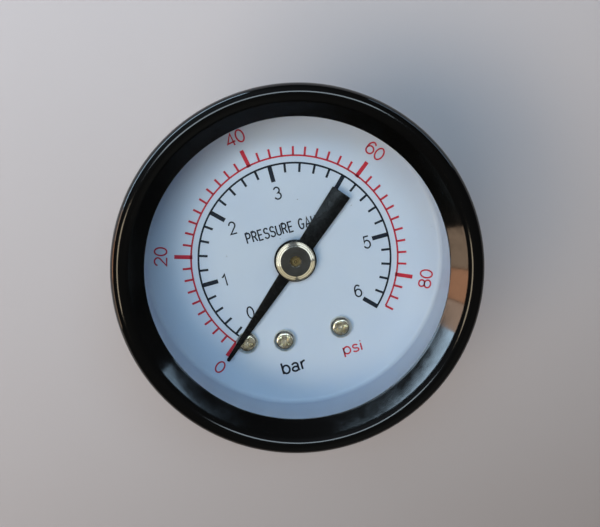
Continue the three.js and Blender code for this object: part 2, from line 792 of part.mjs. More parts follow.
add('hairspring', hairspring(), bronze);
add('hairspring_collet', collet(), brass);
add('hairspring_stud', hairspringStud(), brass);
add('pointer', pointer(), satinBlack);
add('pointer_hub', pointerHub(), nickel);

export default gauge;
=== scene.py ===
"""Looks of a back-mounted 40 mm pressure gauge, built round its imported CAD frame.

Sizes are in millimetres, turned into metres by MM. Z runs out through the dial, +Y is the dial's
12 o'clock, and the origin is the centre of the stem's end face.
"""

import math

import bmesh
import bpy
from mathutils import Matrix, Vector


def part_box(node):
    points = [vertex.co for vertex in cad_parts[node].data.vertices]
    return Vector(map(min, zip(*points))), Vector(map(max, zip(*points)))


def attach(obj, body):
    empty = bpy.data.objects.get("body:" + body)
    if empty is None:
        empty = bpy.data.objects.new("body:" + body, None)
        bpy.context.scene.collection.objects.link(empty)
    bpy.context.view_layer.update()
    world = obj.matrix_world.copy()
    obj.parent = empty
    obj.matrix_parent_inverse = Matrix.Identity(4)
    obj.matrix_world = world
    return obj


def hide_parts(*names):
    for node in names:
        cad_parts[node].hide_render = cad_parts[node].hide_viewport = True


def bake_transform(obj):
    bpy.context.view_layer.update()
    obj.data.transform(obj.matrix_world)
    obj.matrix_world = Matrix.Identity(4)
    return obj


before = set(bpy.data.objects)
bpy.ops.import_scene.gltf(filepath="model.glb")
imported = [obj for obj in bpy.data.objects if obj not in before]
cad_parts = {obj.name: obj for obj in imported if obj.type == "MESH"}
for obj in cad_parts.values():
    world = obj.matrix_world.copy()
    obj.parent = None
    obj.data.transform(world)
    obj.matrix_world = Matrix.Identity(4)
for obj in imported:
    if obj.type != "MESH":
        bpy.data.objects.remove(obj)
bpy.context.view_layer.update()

MM = 0.001
TURN = 2 * math.pi


# ------------------------------------------------------------------ places and sizes from the frame

def low(node):
    return Vector(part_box(node)[0]) / MM


def high(node):
    return Vector(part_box(node)[1]) / MM


def centre(node):
    return (low(node) + high(node)) / 2


def radius(node):
    return (high(node) - low(node)).x / 2


BEZEL_R = radius("bezel")
BEZEL_TOP = high("bezel").z
BEZEL_BOTTOM = low("bezel").z
CASE_R = radius("case")
CASE_BACK = low("case").z
CASE_RIM = high("case").z
DIAL_OUTER_R = radius("dial")
DIAL_RIM = high("dial").z
DIAL_BACK = low("dial").z
HUB_R = radius("pointer_hub")
HUB_TOP = high("pointer_hub").z
POINTER_BOTTOM = low("pointer").z
POINTER_TOP = high("pointer").z

# Shell and dial sections that the boxes don't show
SHEET = 0.55
DIAL_THICK = 0.6
DIAL = DIAL_BACK + DIAL_THICK
DIAL_WALL = 0.4
CASE_CORNER = 2.5
NECK_R = 4.9
WINDOW_R = 17.6
WINDOW = DIAL + 10.1
LIP = 0.3
BEZEL_ROLL = 1.15
SPINDLE_R = 0.55
CASE_HOLE_R = 1.35
DIAL_BORE_R = 1.6
DIAL_HOLE_R = 0.95

# Printing on the dial
INK = 0.012
BAR_ARC_R = 12.15
BAR_START = -135.6
BAR_STEP = 45.17
PSI_ARC_R = 13.07
PSI_ZERO = -129.8
PSI_START = -135.7  # where zero would be if the psi scale were even below 20
PSI_STEP = 3.122
PSI_LAST = 86

# Pointer
POINTER_REST = -131
POINTER_DISC_R = 2.66
POINTER_LENGTH = 15.4
POINTER_ROOT = 1.55
POINTER_TIP = 0.45
TAIL_REACH = 10.3
TAIL_ROOT = 2.05
TAIL_END = 2.6
POINTER_BORE_R = 1.25

# Hub
HUB_NECK_R = 1.15
HUB_CHAMFER = 0.58
HUB_CHAMFER_DROP = 0.24

# Stem
THREAD_R = 4.86
THREAD_PITCH = 0.907
THREAD_DEPTH = 0.56
STEM_TOP = 10.4
FLATS_ACROSS = 11
FLATS_CORNER_R = 6.9
FLATS_TOP = 16.6
COLLAR_R = 6.6
INLET_R = 1.65
INLET_DEPTH = 3.2
PASSAGE_R = 1.3

# Bourdon tube
TUBE_SWEEP = 260
TUBE_THICK = 1.8
TUBE_WALL = 0.3


# Directions by the picture: up, right, and toward() for any other
PHOTO_TURN = math.radians(15.2)  # how far the dial's 12 o'clock is turned from the picture's up
UP = Vector((math.sin(PHOTO_TURN), math.cos(PHOTO_TURN), 0))
RIGHT = Vector((math.cos(PHOTO_TURN), -math.sin(PHOTO_TURN), 0))


def toward(azimuth, elevation):
    """Direction by azimuth (degrees clockwise from the picture's up) and elevation above the table."""
    a, e = math.radians(azimuth), math.radians(elevation)
    flat = UP * math.cos(a) + RIGHT * math.sin(a)
    return flat * math.cos(e) + Vector((0, 0, math.sin(e)))


# ------------------------------------------------------------------ mesh building

def piece_from(name, verts, faces, sharp=32):
    """A smooth-shaded object from points in millimetres, with edges over `sharp` degrees kept crisp."""
    mesh = bpy.data.meshes.new(name)
    mesh.from_pydata([Vector(v) * MM for v in verts], [], faces)
    mesh.validate()
    piece = bpy.data.objects.new(name, mesh)
    bpy.context.collection.objects.link(piece)
    crisp(piece, sharp)
    return piece


def crisp(piece, sharp=32):
    piece.data.shade_smooth()
    piece.data.set_sharp_from_angle(angle=math.radians(sharp))


def facing_out(piece):
    """Turns every face outward."""
    work = bmesh.new()
    work.from_mesh(piece.data)
    bmesh.ops.recalc_face_normals(work, faces=work.faces)
    work.to_mesh(piece.data)
    work.free()
    return piece


def rounded(corners, closed, steps=6):
    """Profile points from corners (r, z, fillet), with an arc in place of each corner that has one."""
    points = []
    for i, (r, z, fillet) in enumerate(corners):
        here = Vector((r, z))
        if not fillet or (not closed and i in (0, len(corners) - 1)):
            points.append(here)
            continue
        before = (Vector(corners[i - 1][:2]) - here).normalized()
        after = (Vector(corners[(i + 1) % len(corners)][:2]) - here).normalized()
        half = before.angle(after) / 2
        reach = fillet / math.tan(half)
        middle = here + (before + after).normalized() * fillet / math.sin(half)
        start = here + before * reach - middle
        swing = (here + after * reach - middle).angle_signed(start)
        for k in range(steps + 1):
            turn = Matrix.Rotation(swing * k / steps, 2)
            points.append(middle + turn @ start)
    return points


def turned(name, corners, sides=192, at=(0, 0), steps=6, sharp=32):
    """A turned piece. A profile off the axis closes on itself; one on the axis starts and ends there."""
    closed = all(r > 0 for r, _, _ in corners)
    profile = rounded(corners, closed, steps)
    verts, rings = [], []
    for r, z in profile:
        count = 1 if r < 1e-6 else sides
        rings.append((len(verts), count))
        for k in range(count):
            angle = TURN * k / sides
            verts.append((at[0] + r * math.cos(angle), at[1] + r * math.sin(angle), z))
    faces = []
    pairs = list(zip(rings, rings[1:]))
    if closed:
        pairs.append((rings[-1], rings[0]))
    for (first, n), (second, m) in pairs:
        for k in range(sides):
            a, b = first + k % n, first + (k + 1) % n
            c, d = second + (k + 1) % m, second + k % m
            corner_list = list(dict.fromkeys((a, b, c, d)))
            if len(corner_list) > 2:
                faces.append(corner_list)
    return facing_out(piece_from(name, verts, faces, sharp))


def with_modifier(piece, kind, **settings):
    """Adds a modifier, applies it and hands the piece back."""
    modifier = piece.modifiers.new(kind.lower(), kind)
    for key, value in settings.items():
        setattr(modifier, key, value)
    bpy.context.view_layer.update()
    seen = piece.evaluated_get(bpy.context.evaluated_depsgraph_get())
    mesh = bpy.data.meshes.new_from_object(seen)
    piece.modifiers.clear()
    piece.data = mesh
    return piece


def cut(piece, *tools):
    for tool in tools:
        with_modifier(piece, "BOOLEAN", object=tool, operation="DIFFERENCE", solver="EXACT")
        bpy.data.objects.remove(tool)
    return piece


def join(piece, *others):
    for other in others:
        with_modifier(piece, "BOOLEAN", object=other, operation="UNION", solver="EXACT")
        bpy.data.objects.remove(other)
    return piece


def soften(piece, width, segments=2, sharp=32):
    """Small round on the edges, as stamping, turning and plating leave."""
    with_modifier(piece, "BEVEL", width=width * MM, segments=segments, limit_method="ANGLE",
                  angle_limit=math.radians(35), harden_normals=False)
    crisp(piece, sharp)
    return piece


def drill(place, r, bottom, top, sides=48):
    corners = [(0, bottom, 0), (r, bottom, 0), (r, top, 0), (0, top, 0)]
    return turned("drill", corners, sides, at=place)


def slab(name, outline, bottom, top):
    """A flat solid from an outline of (x, y) points."""
    count = len(outline)
    verts = [(x, y, z) for z in (bottom, top) for x, y in outline]
    faces = [list(range(count))[::-1], list(range(count, 2 * count))]
    for i in range(count):
        j = (i + 1) % count
        faces.append([i, j, count + j, count + i])
    return facing_out(piece_from(name, verts, faces))


def bow(x, y, rx, ry, start, stop, steps=16):
    """Part of an ellipse, angles in degrees counter-clockwise from +X."""
    angles = [math.radians(start + (stop - start) * k / steps) for k in range(steps + 1)]
    return [(x + rx * math.cos(a), y + ry * math.sin(a)) for a in angles]


def arc_points(r, start, stop, steps, middle=(0, 0)):
    return bow(*middle, r, r, start, stop, steps)


def dress(piece, body, material, replaces=()):
    """Gives a finished piece its body and its material, and hides the CAD nodes that it stands for."""
    piece.data.materials.clear()
    piece.data.materials.append(material)
    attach(piece, body)
    if replaces:
        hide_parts(*replaces)
    return piece


# ------------------------------------------------------------------ materials

class Shader:
    """A Principled material and the few node patterns that the finishes share."""

    def __init__(self, name, color, roughness, metallic=0.0, **values):
        self.material = bpy.data.materials.new(name)
        self.material.use_nodes = True
        self.tree = self.material.node_tree
        self.surface = self.tree.nodes["Principled BSDF"]
        self.surface.inputs["Base Color"].default_value = (*color, 1)
        self.surface.inputs["Roughness"].default_value = roughness
        self.surface.inputs["Metallic"].default_value = metallic
        for socket, value in values.items():
            self.surface.inputs[socket.replace("_", " ")].default_value = value

    def add(self, kind, **settings):
        node = self.tree.nodes.new(kind)
        for key, value in settings.items():
            if key in node.bl_rna.properties:
                setattr(node, key, value)
            else:
                node.inputs[key].default_value = value
        return node

    def link(self, source, target):
        self.tree.links.new(source, target)

    def place(self):
        return self.add("ShaderNodeTexCoord").outputs["Object"]

    def noise(self, scale, detail=3.0, roughness=0.55):
        """Noise with `scale` features per millimetre."""
        node = self.add("ShaderNodeTexNoise")
        node.inputs["Scale"].default_value = scale / MM
        node.inputs["Detail"].default_value = detail
        node.inputs["Roughness"].default_value = roughness
        self.link(self.place(), node.inputs["Vector"])
        return node.outputs["Fac"]

    def ramp(self, source, low_value, high_value, start=0.3, stop=0.7):
        """Maps a pattern to values between low_value and high_value."""
        node = self.add("ShaderNodeMapRange")
        node.inputs["From Min"].default_value = start
        node.inputs["From Max"].default_value = stop
        node.inputs["To Min"].default_value = low_value
        node.inputs["To Max"].default_value = high_value
        self.link(source, node.inputs["Value"])
        return node.outputs["Result"]

    def tint(self, source, first, second):
        """Base colour by a pattern: first, which may be another tint's output, to second."""
        node = self.add("ShaderNodeMix", data_type="RGBA")
        sockets = {s.identifier: s for s in node.inputs}
        if isinstance(first, tuple):
            sockets["A_Color"].default_value = (*first, 1)
        else:
            self.link(first, sockets["A_Color"])
        sockets["B_Color"].default_value = (*second, 1)
        self.link(source, sockets["Factor_Float"])
        outputs = {s.identifier: s for s in node.outputs}
        self.link(outputs["Result_Color"], self.surface.inputs["Base Color"])
        return outputs["Result_Color"]

    def rough(self, source):
        self.link(source, self.surface.inputs["Roughness"])

    def bump(self, source, height, strength=1.0):
        """Relief of `height` millimetres."""
        node = self.add("ShaderNodeBump")
        node.inputs["Strength"].default_value = strength
        node.inputs["Distance"].default_value = height * MM
        self.link(source, node.inputs["Height"])
        before = self.surface.inputs["Normal"]
        if before.is_linked:
            self.link(before.links[0].from_socket, node.inputs["Normal"])
        self.link(node.outputs["Normal"], before)

    def lathe_rings(self, spacing, wobble=0.25):
        """Fine rings round the piece's own Z axis, as a turning tool leaves."""
        split = self.add("ShaderNodeSeparateXYZ")
        self.link(self.place(), split.inputs["Vector"])
        length = self.add("ShaderNodeVectorMath", operation="LENGTH")
        flat = self.add("ShaderNodeCombineXYZ")
        self.link(split.outputs["X"], flat.inputs["X"])
        self.link(split.outputs["Y"], flat.inputs["Y"])
        self.link(flat.outputs["Vector"], length.inputs[0])
        add = self.add("ShaderNodeMath", operation="MULTIPLY_ADD")
        self.link(split.outputs["Z"], add.inputs[0])
        add.inputs[1].default_value = 0.7
        self.link(length.outputs["Value"], add.inputs[2])
        rings = self.add("ShaderNodeTexNoise", noise_dimensions="1D")
        rings.inputs["Scale"].default_value = 1 / (spacing * MM)
        rings.inputs["Detail"].default_value = 2.0
        rings.inputs["Distortion"].default_value = wobble
        self.link(add.outputs["Value"], rings.inputs["W"])
        return rings.outputs["Fac"]


def gloss_black():
    """Stoved black enamel: glossy, with a faint waviness, dust and uneven gloss."""
    # The near-black base is tinted slightly olive-brown: partly the enamel's own colour, partly a painted
    # sheen for the brownish reflection on the bezel's cone.
    made = Shader("gloss_black", (0.0018, 0.0017, 0.0015), 0.1)
    specks = made.noise(9, 4, 0.7)
    made.rough(made.ramp(made.noise(0.5, 5, 0.65), 0.06, 0.14, 0.35, 0.75))
    made.tint(made.ramp(specks, 0, 1, 0.70, 0.76), (0.0018, 0.0017, 0.0015), (0.03, 0.028, 0.024))
    made.bump(made.noise(0.9, 2, 0.4), 0.008, 0.3)
    return made.material


def case_black():
    """The drawn case: semi-gloss black with a light orange peel."""
    made = Shader("case_black", (0.010, 0.010, 0.011), 0.3)
    made.rough(made.ramp(made.noise(0.6, 4), 0.22, 0.42))
    made.tint(made.ramp(made.noise(6, 4, 0.7), 0, 1, 0.64, 0.72), (0.010, 0.010, 0.011), (0.04, 0.038, 0.036))
    made.bump(made.noise(2.2, 2), 0.02, 0.4)
    return made.material


def dial_paint():
    """Pale blue-grey satin lacquer with a fine grain and a few specks of dust."""
    pale, cool = (0.60, 0.655, 0.775), (0.55, 0.615, 0.76)
    made = Shader("dial_paint", pale, 0.42, Coat_Weight=0.15, Coat_Roughness=0.25)
    cloud = made.noise(0.12, 3)
    base = made.tint(made.ramp(cloud, 0, 1), pale, cool)
    dust = made.ramp(made.noise(2.4, 3, 0.6), 0, 1, 0.745, 0.76)
    made.tint(dust, base, (0.16, 0.15, 0.17))
    made.rough(made.ramp(made.noise(1.5, 4), 0.36, 0.5))
    made.bump(made.noise(7, 2), 0.004, 0.5)
    return made.material


def ink(name, color, faded):
    """Pad-printed ink, slightly uneven."""
    made = Shader(name, color, 0.5, Specular_IOR_Level=0.2)
    made.tint(made.ramp(made.noise(3.5, 4, 0.65), 0, 1), color, faded)
    made.bump(made.noise(12, 2), 0.003, 0.5)
    return made.material


def pointer_paint():
    """Satin black paint on stamped aluminium."""
    made = Shader("pointer_paint", (0.005, 0.005, 0.005), 0.3, Specular_IOR_Level=0.15)
    made.rough(made.ramp(made.noise(1.2, 4), 0.2, 0.34))
    made.tint(made.ramp(made.noise(10, 3, 0.7), 0, 1, 0.62, 0.7), (0.005, 0.005, 0.005), (0.02, 0.016, 0.014))
    made.bump(made.noise(5, 3), 0.006, 0.4)
    return made.material


def turned_metal(name, color, stained, roughness, spacing=0.09, relief=0.004):
    """Metal off a lathe: rings in its relief and roughness, with patches of stain."""
    made = Shader(name, color, roughness, 1.0)
    rings = made.lathe_rings(spacing)
    made.rough(made.ramp(rings, roughness * 0.7, roughness * 1.5))
    patches = made.add("ShaderNodeMath", operation="MULTIPLY")
    made.link(made.ramp(rings, 0, 1, 0.35, 0.62), patches.inputs[0])
    made.link(made.ramp(made.noise(0.8, 5, 0.65), 0.35, 1.0, 0.4, 0.75), patches.inputs[1])
    made.tint(patches.outputs["Value"], color, stained)
    made.bump(rings, relief, 0.6)
    made.bump(made.noise(5, 3), relief * 0.6, 0.3)
    return made.material


def plated_metal(name, color, stained, roughness, relief=0.006):
    """Plated or drawn metal with a mottled tint and tiny scratches."""
    made = Shader(name, color, roughness, 1.0)
    made.tint(made.ramp(made.noise(2.2, 5, 0.65), 0, 1, 0.38, 0.7), color, stained)
    made.rough(made.ramp(made.noise(4.5, 4), roughness * 0.6, roughness * 1.7))
    made.bump(made.noise(7, 4, 0.6), relief, 0.4)
    return made.material


def seal_rubber():
    made = Shader("seal_rubber", (0.012, 0.012, 0.012), 0.7)
    made.tint(made.ramp(made.noise(3, 4), 0, 1), (0.010, 0.010, 0.010), (0.03, 0.03, 0.028))
    made.bump(made.noise(6, 3), 0.01, 0.5)
    return made.material


def lens_clear():
    """Clear flat lens: see-through, with a mirror share by angle and a few faint smears.

    Light isn't bent in it, so only its outer faces mirror. Its inner sides would mirror everything
    that crosses them at a slant.
    """
    made = Shader("lens_clear", (1, 1, 1), 0.03)
    nodes, surface = made.tree.nodes, made.surface
    nodes.remove(surface)
    clear = made.add("ShaderNodeBsdfTransparent")
    clear.inputs["Color"].default_value = (0.965, 0.98, 0.985, 1)
    gloss = made.add("ShaderNodeBsdfGlossy")
    gloss.inputs["Color"].default_value = (1, 1, 1, 1)
    made.link(made.ramp(made.noise(0.35, 5, 0.7), 0.01, 0.06, 0.45, 0.8), gloss.inputs["Roughness"])
    share = made.add("ShaderNodeFresnel")
    share.inputs["IOR"].default_value = 1.45
    outside = made.add("ShaderNodeMath", operation="SUBTRACT")
    outside.inputs[0].default_value = 1
    made.link(made.add("ShaderNodeNewGeometry").outputs["Backfacing"], outside.inputs[1])
    outer_share = made.add("ShaderNodeMath", operation="MULTIPLY")
    made.link(share.outputs["Fac"], outer_share.inputs[0])
    made.link(outside.outputs["Value"], outer_share.inputs[1])
    mixed = made.add("ShaderNodeMixShader")
    made.link(outer_share.outputs["Value"], mixed.inputs["Fac"])
    made.link(clear.outputs["BSDF"], mixed.inputs[1])
    made.link(gloss.outputs["BSDF"], mixed.inputs[2])
    made.link(mixed.outputs["Shader"], nodes["Material Output"].inputs["Surface"])
    return made.material


def table_top():
    """Pale lilac-grey matt card under the gauge, with painted shade: darker and warmer towards the picture's
    bottom right.
    """
    pale, shade_tone = (0.67, 0.63, 0.67), (0.28, 0.245, 0.24)
    made = Shader("table_top", pale, 0.8)
    # Painted shade: a gradient towards the picture's bottom right, broken up by a faint noise, mixes the pale
    # card towards a darker, warmer tone as a soft shadow would.
    along = made.add("ShaderNodeVectorMath", operation="DOT_PRODUCT")
    made.link(made.place(), along.inputs[0])
    along.inputs[1].default_value = toward(155, 0) / MM
    cloud = made.add("ShaderNodeMath", operation="MULTIPLY_ADD")
    made.link(made.noise(0.012, 3), cloud.inputs[0])
    cloud.inputs[1].default_value = 14
    made.link(along.outputs["Value"], cloud.inputs[2])
    made.tint(made.ramp(cloud.outputs["Value"], 0, 1, -48, 100), pale, shade_tone)
    made.bump(made.noise(2, 4), 0.03, 0.3)
    return made.material


BLACK_GLOSS = gloss_black()
BLACK_CASE = case_black()
DIAL_PAINT = dial_paint()
INK_BLACK = ink("ink_black", (0.006, 0.009, 0.018), (0.018, 0.024, 0.038))
INK_RED = ink("ink_red", (0.52, 0.012, 0.035), (0.56, 0.04, 0.06))
POINTER_BLACK = pointer_paint()
NICKEL = turned_metal("nickel", (0.72, 0.69, 0.60), (0.30, 0.26, 0.18), 0.15, 0.16, 0.004)
BRASS_TURNED = turned_metal("brass_turned", (0.72, 0.52, 0.22), (0.50, 0.33, 0.13), 0.26)
STEEL_TURNED = turned_metal("steel_turned", (0.56, 0.56, 0.57), (0.38, 0.36, 0.34), 0.24)
ZINC = plated_metal("zinc_plate", (0.86, 0.83, 0.73), (0.58, 0.51, 0.34), 0.16, 0.0004)
BRASS = plated_metal("brass_sheet", (0.70, 0.51, 0.23), (0.48, 0.33, 0.14), 0.3)
BRONZE = plated_metal("bronze", (0.60, 0.36, 0.18), (0.36, 0.20, 0.10), 0.3)
STEEL = plated_metal("steel", (0.55, 0.55, 0.56), (0.36, 0.35, 0.34), 0.28)
RUBBER = seal_rubber()
LENS = lens_clear()


# ------------------------------------------------------------------ shells

def make_bezel():
    """Pressed ring: a cone up from the window, a round roll, the straight side and a turned-in hem."""
    skirt = CASE_R + 0.3
    middle = Vector((BEZEL_R - BEZEL_ROLL, BEZEL_TOP - BEZEL_ROLL))
    to_middle = middle - Vector((WINDOW_R, WINDOW))
    slope = math.atan2(to_middle.y, to_middle.x) + math.asin(BEZEL_ROLL / to_middle.length)
    roll = arc_points(BEZEL_ROLL, math.degrees(slope) + 90, 0, 24, middle)
    hollow = 0.012  # how far the cone is pressed in below a straight line
    foot, crown = Vector((WINDOW_R, WINDOW)), Vector(roll[0])
    inward = Vector((crown.y - foot.y, foot.x - crown.x)).normalized() * hollow
    parts = 12
    cone = [foot.lerp(crown, k / parts) + inward * (1 - (2 * k / parts - 1) ** 2) for k in range(1, parts)]
    corners = [
        (WINDOW_R, WINDOW - LIP, 0.1),
        (WINDOW_R, WINDOW, 0.12),
        *((r, z, 0) for r, z in cone),
        *((r, z, 0) for r, z in roll),
        (BEZEL_R, BEZEL_BOTTOM, 0.45),
        (skirt, BEZEL_BOTTOM, 0.12),
        (skirt, WINDOW - LIP, 0.2),
    ]
    piece = turned("bezel_ring", corners, 320, steps=8, sharp=60)
    dress(piece, "gauge_body", BLACK_GLOSS, ("bezel",))


def make_case():
    """Drawn cup with a rounded back edge and holes for the neck and the two screws."""
    inner = CASE_CORNER - SHEET
    corners = [
        (NECK_R + 0.2, CASE_BACK, 0.1),
        (CASE_R, CASE_BACK, CASE_CORNER),
        (CASE_R, CASE_RIM, 0.2),
        (CASE_R - SHEET, CASE_RIM, 0.2),
        (CASE_R - SHEET, CASE_BACK + SHEET, inner),
        (NECK_R + 0.2, CASE_BACK + SHEET, 0.1),
    ]
    piece = turned("case_cup", corners, 256, steps=10)
    for node in ("case_screw_1", "case_screw_2"):
        place = centre(node)
        cut(piece, drill(place[:2], CASE_HOLE_R, CASE_BACK - 1, CASE_BACK + 2))
    crisp(piece)
    dress(piece, "gauge_body", BLACK_CASE, ("case",))


def make_lens():
    bottom, top, r = low("lens").z, high("lens").z, radius("lens")
    corners = [(0, bottom, 0), (r, bottom, 0.2), (r, top, 0.2), (0, top, 0)]
    dress(turned("lens_disc", corners, 192), "gauge_body", LENS, ("lens",))


def make_gasket():
    bottom, top, r = low("lens_gasket").z, high("lens_gasket").z, radius("lens_gasket")
    inner = DIAL_OUTER_R - DIAL_WALL + 0.05
    corners = [(inner, bottom, 0.15), (r, bottom, 0.15), (r, top, 0.15), (inner, top, 0.15)]
    piece = turned("gasket_ring", corners, 160)
    dress(piece, "gauge_body", RUBBER, ("lens_gasket",))


# ------------------------------------------------------------------ dial and its print

def make_dial():
    """Pressed pan with an upturned wall, whose inside is the pale band round the dial."""
    wall = DIAL_OUTER_R - DIAL_WALL
    corners = [
        (DIAL_BORE_R, DIAL_BACK, 0.05),
        (DIAL_OUTER_R, DIAL_BACK, 1.0),
        (DIAL_OUTER_R, DIAL_RIM, 0.15),
        (wall, DIAL_RIM, 0.15),
        (wall, DIAL, 0.6),
        (DIAL_BORE_R, DIAL, 0.08),
    ]
    piece = turned("dial_pan", corners, 256, steps=8)
    for node in ("dial_screw_1", "dial_screw_2", "dial_screw_3"):
        cut(piece, drill(centre(node)[:2], DIAL_HOLE_R, DIAL_BACK - 1, DIAL + 1, 32))
    crisp(piece)
    dress(piece, "gauge_body", DIAL_PAINT, ("dial",))


def clock(r, degrees):
    """The point at distance r and `degrees` clockwise from 12 o'clock."""
    angle = math.radians(degrees)
    return Vector((r * math.sin(angle), r * math.cos(angle)))


# Lettering as pen strokes. Each glyph is its width and its strokes, on a height of 1.
GLYPHS = {
    "0": (0.56, [bow(0.28, 0.5, 0.28, 0.5, 0, 360, 32)]),
    "1": (0.30, [[(0, 0.76), (0.12, 0.82), (0.25, 1), (0.25, 0)]]),
    "2": (0.56, [[*bow(0.28, 0.72, 0.27, 0.28, 175, -35), (0, 0), (0.57, 0)]]),
    "3": (0.56, [[*bow(0.27, 0.755, 0.24, 0.245, 160, -80), *bow(0.27, 0.265, 0.28, 0.265, 75, -165)]]),
    "4": (0.60, [[(0.44, 0), (0.44, 1), (0, 0.3), (0.6, 0.3)]]),
    "5": (0.56, [[(0.52, 1), (0.13, 1), (0.06, 0.5), *bow(0.27, 0.33, 0.28, 0.33, 130, -160)]]),
    "6": (0.56, [bow(0.28, 0.32, 0.27, 0.32, 0, 360, 28), bow(0.29, 0.5, 0.28, 0.5, 45, 200)]),
    "8": (0.56, [bow(0.28, 0.755, 0.24, 0.245, 0, 360, 24), bow(0.28, 0.265, 0.28, 0.265, 0, 360, 28)]),
    "P": (0.50, [[(0, 0), (0, 1), (0.24, 1), *bow(0.24, 0.74, 0.24, 0.26, 90, -90), (0, 0.48)]]),
    "R": (0.52, [[(0, 0), (0, 1), (0.24, 1), *bow(0.24, 0.75, 0.24, 0.25, 90, -90), (0, 0.5)],
                 [(0.26, 0.5), (0.5, 0)]]),
    "E": (0.48, [[(0.47, 1), (0, 1), (0, 0), (0.48, 0)], [(0, 0.52), (0.42, 0.52)]]),
    "S": (0.52, [[*bow(0.26, 0.75, 0.23, 0.25, 20, 255), *bow(0.26, 0.255, 0.26, 0.255, 75, -165)]]),
    "U": (0.50, [[(0, 1), *bow(0.25, 0.25, 0.25, 0.25, 180, 360), (0.5, 1)]]),
    "G": (0.56, [[*bow(0.28, 0.5, 0.28, 0.5, 45, 320), (0.54, 0.45), (0.3, 0.45)]]),
    "A": (0.56, [[(0, 0), (0.28, 1), (0.56, 0)], [(0.09, 0.32), (0.47, 0.32)]]),
    "b": (0.52, [[(0, 1), (0, 0)], bow(0.26, 0.36, 0.26, 0.36, 0, 360, 28)]),
    "a": (0.54, [[*bow(0.25, 0.53, 0.21, 0.19, 165, 0), (0.46, 0.1), (0.54, 0.0)],
                 bow(0.23, 0.2, 0.23, 0.2, 70, 430, 24)]),
    "r": (0.28, [[(0, 0.72), (0, 0)], bow(0.27, 0.4, 0.27, 0.32, 180, 80, 8)]),
    "p": (0.52, [[(0, 0.72), (0, -0.28)], bow(0.26, 0.36, 0.26, 0.36, 0, 360, 28)]),
    "s": (0.44, [[*bow(0.22, 0.54, 0.19, 0.18, 20, 255), *bow(0.22, 0.18, 0.22, 0.18, 75, -165)]]),
    "i": (0.06, [[(0.03, 0.72), (0.03, 0)], [(0.03, 0.9), (0.03, 1)]]),
    " ": (0.35, []),
}


class Print:
    """Collects printed lines of one colour as thin closed solids on the dial."""

    def __init__(self):
        self.work = bmesh.new()

    def line(self, points, width):
        """A line of even width along points, mitred at its corners. It closes if its ends meet."""
        points = [Vector(p) for p in points]
        closed = (points[0] - points[-1]).length < 1e-4
        if closed:
            points.pop()
        count = len(points)
        rows = []
        for i, here in enumerate(points):
            ahead = points[(i + 1) % count] - here if closed or i < count - 1 else here - points[i - 1]
            behind = here - points[i - 1] if closed or i > 0 else ahead
            normal = (ahead.normalized() + behind.normalized()).normalized()
            across = Vector((-normal.y, normal.x))
            stretch = 1 / max(0.5, normal.dot(ahead.normalized()))  # a mitre reaches at most twice as far
            offset = across * width / 2 * stretch
            row = []
            for z in (DIAL + INK / 4, DIAL + INK):
                for side in (here - offset, here + offset):
                    row.append(self.work.verts.new(Vector((*side, z)) * MM))
            rows.append(row)
        for i in range(count if closed else count - 1):
            a, b = rows[i], rows[(i + 1) % count]
            for k, m in ((0, 1), (1, 3), (3, 2), (2, 0)):
                self.work.faces.new((a[k], a[m], b[m], b[k]))
        if not closed:
            for right_low, left_low, right_top, left_top in (rows[0], rows[-1]):
                self.work.faces.new((right_low, left_low, left_top, right_top))

    def tick(self, angle, r_from, r_to, width):
        self.line((clock(r_from, angle), clock(r_to, angle)), width)

    def arc(self, r, width, start, stop):
        steps = int(abs(stop - start) / 1.5)
        self.line([clock(r, start + (stop - start) * k / steps) for k in range(steps + 1)], width)

    def words(self, text, height, width, place, pen, turn=0.0, gap=0.16):
        """Text whose ink fills width x height round place, turned clockwise by `turn` degrees."""
        strokes = []
        x = 0
        for letter in text:
            advance, shapes = GLYPHS[letter]
            strokes.extend([(px + x, py) for px, py in shape] for shape in shapes)
            x += advance + gap
        points = [point for shape in strokes for point in shape]
        left, right = min(p[0] for p in points), max(p[0] for p in points)
        bottom, top = min(p[1] for p in points), max(p[1] for p in points)
        across = (width - pen) / (right - left)
        up = (height - pen) / (top - bottom)
        spin = Matrix.Rotation(-math.radians(turn), 2)
        for shape in strokes:
            self.line([Vector(place) + spin @ Vector(((px - (left + right) / 2) * across,
                                                      (py - (bottom + top) / 2) * up))
                       for px, py in shape], pen)

    def piece(self, name):
        mesh = bpy.data.meshes.new(name)
        bmesh.ops.recalc_face_normals(self.work, faces=self.work.faces)
        self.work.to_mesh(mesh)
        self.work.free()
        made = bpy.data.objects.new(name, mesh)
        bpy.context.collection.objects.link(made)
        return made


def print_bar_scale():
    """Black scale: 0 to 6 bar over 271 degrees, marks inside the arc, numbers upright."""
    black = Print()
    last = 6
    black.arc(BAR_ARC_R, 0.24, BAR_START, BAR_START + last * BAR_STEP)
    for fifth in range(last * 5 + 1):
        angle = BAR_START + fifth * BAR_STEP / 5
        if fifth % 5 == 0:
            reach = 2.05 if fifth else 1.1
            black.tick(angle, BAR_ARC_R + 0.12, BAR_ARC_R - reach, 0.54)
        else:
            black.tick(angle, BAR_ARC_R, BAR_ARC_R - 1.15, 0.29)
    number_places = [(8.85, -125), (9.3, -91.1), (8.8, -47.6), (8.65, 0.4), (8.8, 45), (9.32, 92),
                     (9.02, 132.3)]
    for number, (r, angle) in enumerate(number_places):
        width = 0.6 if number == 1 else 0.98
        black.words(str(number), 1.68, width, clock(r, angle), 0.19)
    black.words("PRESSURE GAUGE", 1.46, 10.8, (0.12, 4.15), 0.19, gap=0.22)
    black.words("bar", 1.74, 3.3, (-3.76, -13.3), 0.25, gap=0.2)
    piece = black.piece("dial_print_black")
    dress(piece, "gauge_body", INK_BLACK)


def psi_angle(value):
    return PSI_START + value * PSI_STEP if value else PSI_ZERO


